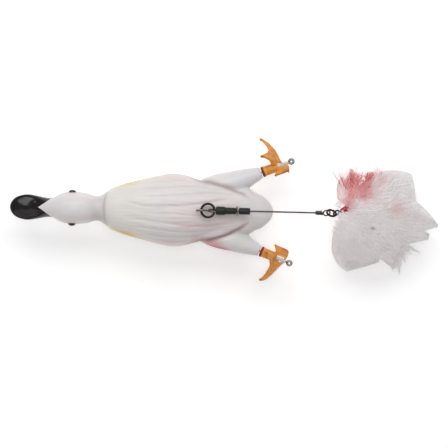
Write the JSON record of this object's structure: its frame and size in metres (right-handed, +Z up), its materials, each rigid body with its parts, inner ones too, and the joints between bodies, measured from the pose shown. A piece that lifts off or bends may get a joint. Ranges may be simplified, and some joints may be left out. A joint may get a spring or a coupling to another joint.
{
  "type": "duckling surface lure",
  "caption": "Duckling-shaped floating fishing lure with spinning webbed feet on wire axles and a feathered treble hook on a wire stinger trace.",
  "frame": {"origin": "middle of the small flat under the belly, which the lure rests on", "axes": "+Z up through the back, +X from the bill towards the tail and the trailing hook, +Y towards the bird's right side"},
  "size_m": [0.2253, 0.0747, 0.0397],
  "materials": {
    "shell": "white lacquer with black bill and faint pink and yellow airbrush",
    "eye": "gloss black dome",
    "foot": "satin orange",
    "clear_tube": "clear",
    "wire": "bright drawn wire",
    "ring": "black nickel",
    "rubber": "matt black",
    "hook": "black nickel",
    "thread": "lacquered red thread",
    "feather_white": "soft feather",
    "feather_pink": "soft feather",
    "tuft": "marabou fluff",
    "ballast": "dull grey"
  },
  "bodies": {
    "duck": {"upper_shell": "shell", "lower_shell": "shell", "right_eye": "eye", "left_eye": "eye", "line_tie_eye": "wire", "ballast_front": "ballast", "ballast_rear": "ballast", "back_eye": "wire", "keeper_eye": "wire", "right_axle_wire": "wire", "left_axle_wire": "wire"},
    "right_foot": {"right_foot": "foot", "right_foot_tube": "clear_tube"},
    "left_foot": {"left_foot": "foot", "left_foot_tube": "clear_tube"},
    "front_ring": {"front_split_ring": "ring"},
    "trace": {"trace_wire": "wire", "crimp_sleeve": "ring", "front_tube": "rubber", "rear_tube": "rubber"},
    "hook_ring": {"hook_split_ring": "ring"},
    "hook": {"treble_hook": "hook", "thread_whipping": "thread", "feather_tail": "feather_white", "feather_upper": "feather_white", "feather_lower_tail": "feather_white", "feather_wispy": "feather_white", "feather_round": "feather_white", "feather_side": "feather_white", "feather_cover": "feather_white", "feather_point_front": "feather_pink", "feather_point_back": "feather_pink", "red_tuft": "tuft", "under_feather_right": "feather_white", "under_feather_left": "feather_white"}
  },
  "joints": [
    {"name": "right_foot_spin", "type": "hinge", "parent": "duck", "child": "right_foot", "pos_m": [0.042, 0.0205, 0.0205], "axis": [0.9304, 0.3665, 0], "continuous": true},
    {"name": "left_foot_spin", "type": "hinge", "parent": "duck", "child": "left_foot", "pos_m": [0.042, -0.0205, 0.0205], "axis": [0.9304, -0.3665, 0], "continuous": true},
    {"name": "front_ring_slide", "type": "slide", "parent": "duck", "child": "front_ring", "axis": [0.9925, 0, -0.1219], "range_m": [0, 0.0013]},
    {"name": "trace_roll", "type": "hinge", "parent": "front_ring", "child": "trace", "pos_m": [0.0146, 0, 0.0366], "axis": [0.9925, 0, -0.1219], "range_deg": [-10, 10]},
    {"name": "hook_ring_swing", "type": "hinge", "parent": "trace", "child": "hook_ring", "pos_m": [0.07827, 0, 0.02878], "axis": [0, 1, 0], "range_deg": [-45, 40]},
    {"name": "hook_swing", "type": "hinge", "parent": "hook_ring", "child": "hook", "pos_m": [0.0815, 0, 0.0273], "axis": [0.4484, 0.071, 0.891], "range_deg": [-20, 20]}
  ]
}
